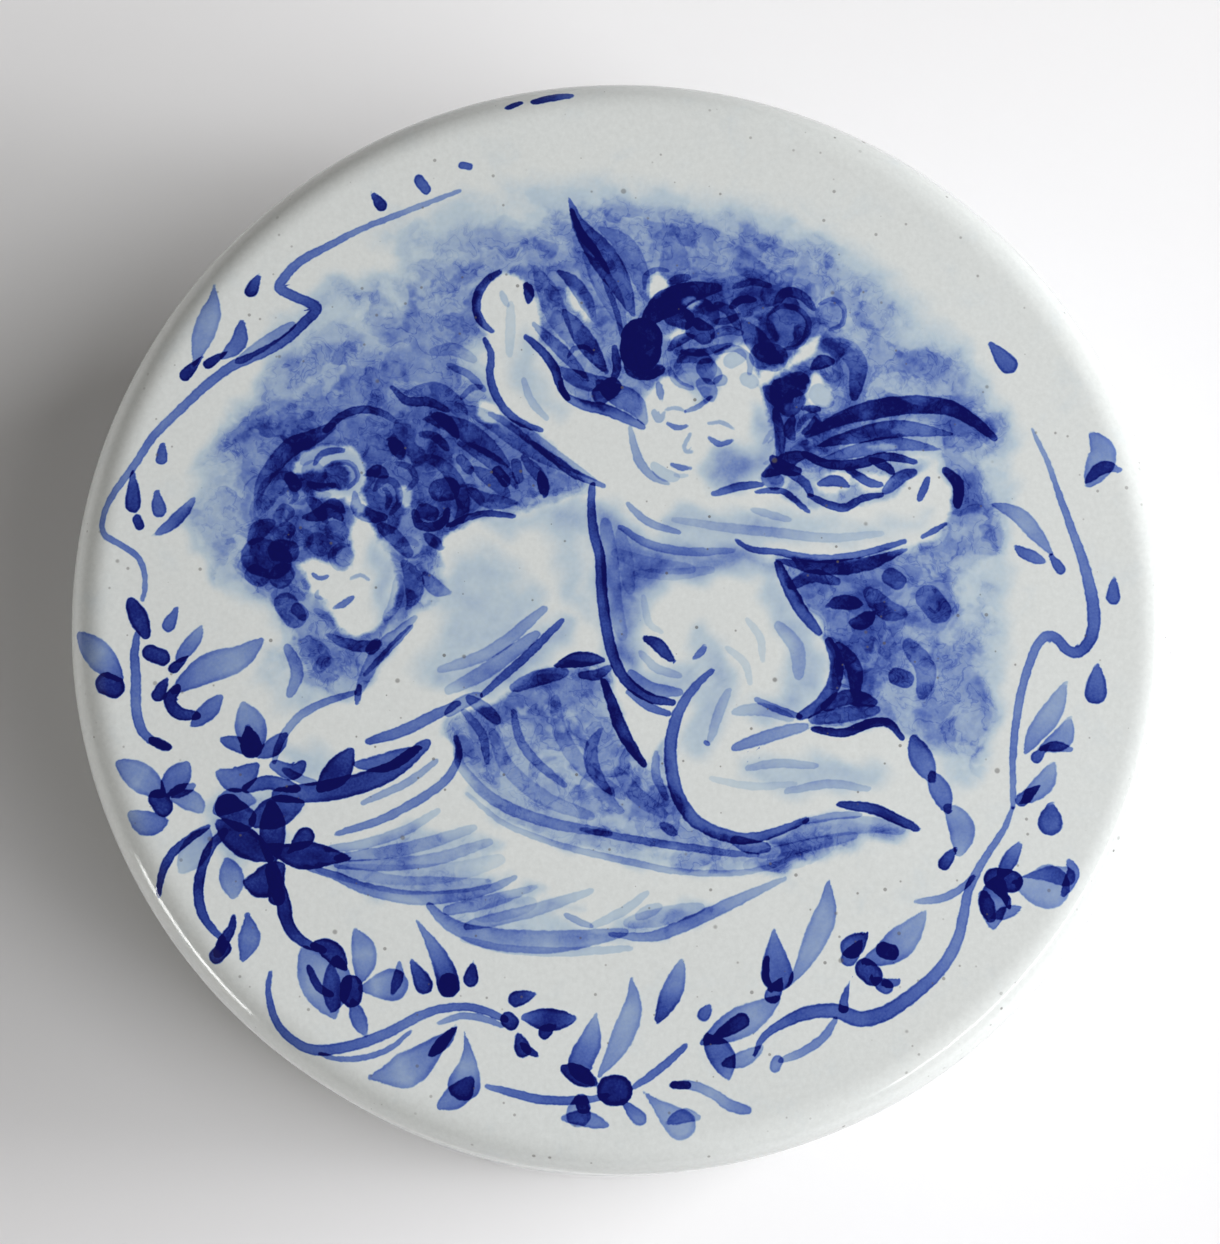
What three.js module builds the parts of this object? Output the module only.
// A round porcelain trinket box in two pieces: a low drum-shaped base with a neck standing up
// inside its rim, and a cap-shaped lid that slips over the neck and lifts straight off.
// Millimetres, +Z up. The origin is the centre of the foot ring's resting face.
import * as THREE from "three";

// Driving dimensions
const OUTER_RADIUS = 42.5; // the drum, base and lid alike
const TOTAL_HEIGHT = 40; // foot to the crown of the lid
const SEAM_HEIGHT = 26; // the ledge of the base, which the lid rests on
const GLAZE_GAP = 0.3; // between the lid's rim and the ledge
const WALL = 3.3; // side walls
const LID_THICKNESS = 3;
const FLOOR_THICKNESS = 3;

const NECK_HEIGHT = 5; // above the ledge
const NECK_THICKNESS = 2.4;
const NECK_CLEARANCE = 0.5; // on the radius, inside the lid

const FOOT_HEIGHT = 1;
const FOOT_OUTER_RADIUS = 35;
const FOOT_INNER_RADIUS = 31.5;
const HEEL_RADIUS = 4.5; // where the base's wall turns under to the foot
const SHOULDER_RADIUS = 3; // where the lid's wall turns over to its top
const RIM_RADIUS = 0.8; // the worn edges on either side of the seam
const LIP_RADIUS = 1.1; // the neck's rounded lip
const INSIDE_RADIUS = 3; // between the walls and the floor or the lid's ceiling
const CROWN_RISE = 0.5; // the lid's top swells a little towards its middle
const SKIN_LIFT = 0.2; // the underside's middle is this much higher than the foot ring's inner edge

const SEGMENTS = 72; // round the axis
const ARC_STEPS = 5; // per quarter turn of a rounded edge
const CROWN_STEPS = 3;

const QUARTER = Math.PI / 2;

// Points on a circular arc of the (radius, height) profile, both ends included.
function arc(centreRadius, centreHeight, radius, from, to, steps = ARC_STEPS) {
  return Array.from({ length: steps + 1 }, (_, i) => {
    const angle = from + ((to - from) * i) / steps;
    return new THREE.Vector2(
      centreRadius + radius * Math.cos(angle),
      centreHeight + radius * Math.sin(angle),
    );
  });
}

const point = (radius, height) => new THREE.Vector2(radius, height);

// A profile turned about +Z, from the axis round the outside and back to the axis.
function turned(name, profile, material) {
  const geometry = new THREE.LatheGeometry(profile, SEGMENTS);
  geometry.rotateX(QUARTER);
  const mesh = new THREE.Mesh(geometry, material);
  mesh.name = name;
  return mesh;
}

const neckOuterRadius = OUTER_RADIUS - WALL - NECK_CLEARANCE;
const neckInnerRadius = neckOuterRadius - NECK_THICKNESS;

// Underside, foot ring, heel, wall, seam edge, ledge, neck and its lip, then down the inside.
function baseProfile() {
  const heelHeight = FOOT_HEIGHT + HEEL_RADIUS;
  const lipHeight = SEAM_HEIGHT + NECK_HEIGHT - LIP_RADIUS;
  const floorHeight = FOOT_HEIGHT + FLOOR_THICKNESS;
  return [
    point(0, FOOT_HEIGHT + SKIN_LIFT),
    point(FOOT_INNER_RADIUS - FOOT_HEIGHT, FOOT_HEIGHT),
    point(FOOT_INNER_RADIUS, 0),
    point(FOOT_OUTER_RADIUS, 0),
    point(FOOT_OUTER_RADIUS + FOOT_HEIGHT, FOOT_HEIGHT),
    ...arc(OUTER_RADIUS - HEEL_RADIUS, heelHeight, HEEL_RADIUS, -QUARTER, 0),
    ...arc(OUTER_RADIUS - RIM_RADIUS, SEAM_HEIGHT - RIM_RADIUS, RIM_RADIUS, 0, QUARTER, 3),
    point(neckOuterRadius, SEAM_HEIGHT),
    ...arc(neckOuterRadius - LIP_RADIUS, lipHeight, LIP_RADIUS, 0, QUARTER, 3),
    ...arc(neckInnerRadius + LIP_RADIUS, lipHeight, LIP_RADIUS, QUARTER, 2 * QUARTER, 3),
    ...arc(neckInnerRadius - INSIDE_RADIUS, floorHeight + INSIDE_RADIUS, INSIDE_RADIUS, 0, -QUARTER),
    point(0, floorHeight),
  ];
}

// Ceiling, inner wall, rim on either side of the resting face, wall, shoulder and crown.
function lidProfile() {
  const rimHeight = SEAM_HEIGHT + GLAZE_GAP;
  const innerRadius = OUTER_RADIUS - WALL;
  const ceilingHeight = TOTAL_HEIGHT - LID_THICKNESS;
  const crownRadius = OUTER_RADIUS - SHOULDER_RADIUS;
  const crown = Array.from({ length: CROWN_STEPS }, (_, i) => {
    const radius = crownRadius * (1 - (i + 1) / CROWN_STEPS);
    return point(radius, TOTAL_HEIGHT - CROWN_RISE * (radius / crownRadius) ** 2);
  });
  return [
    point(0, ceilingHeight),
    ...arc(innerRadius - INSIDE_RADIUS, ceilingHeight - INSIDE_RADIUS, INSIDE_RADIUS, QUARTER, 0),
    ...arc(innerRadius + RIM_RADIUS, rimHeight + RIM_RADIUS, RIM_RADIUS, 2 * QUARTER, 3 * QUARTER, 3),
    ...arc(OUTER_RADIUS - RIM_RADIUS, rimHeight + RIM_RADIUS, RIM_RADIUS, -QUARTER, 0, 3),
    ...arc(crownRadius, TOTAL_HEIGHT - CROWN_RISE - SHOULDER_RADIUS, SHOULDER_RADIUS, 0, QUARTER),
    ...crown,
  ];
}

const baseGlaze = new THREE.MeshStandardMaterial({ color: 0xdcded9, roughness: 0.15, metalness: 0 });
const lidGlaze = new THREE.MeshStandardMaterial({ color: 0xd3d8e6, roughness: 0.12, metalness: 0 });

const box = new THREE.Group();
box.add(turned("base", baseProfile(), baseGlaze));
box.add(turned("lid", lidProfile(), lidGlaze));

export default box;
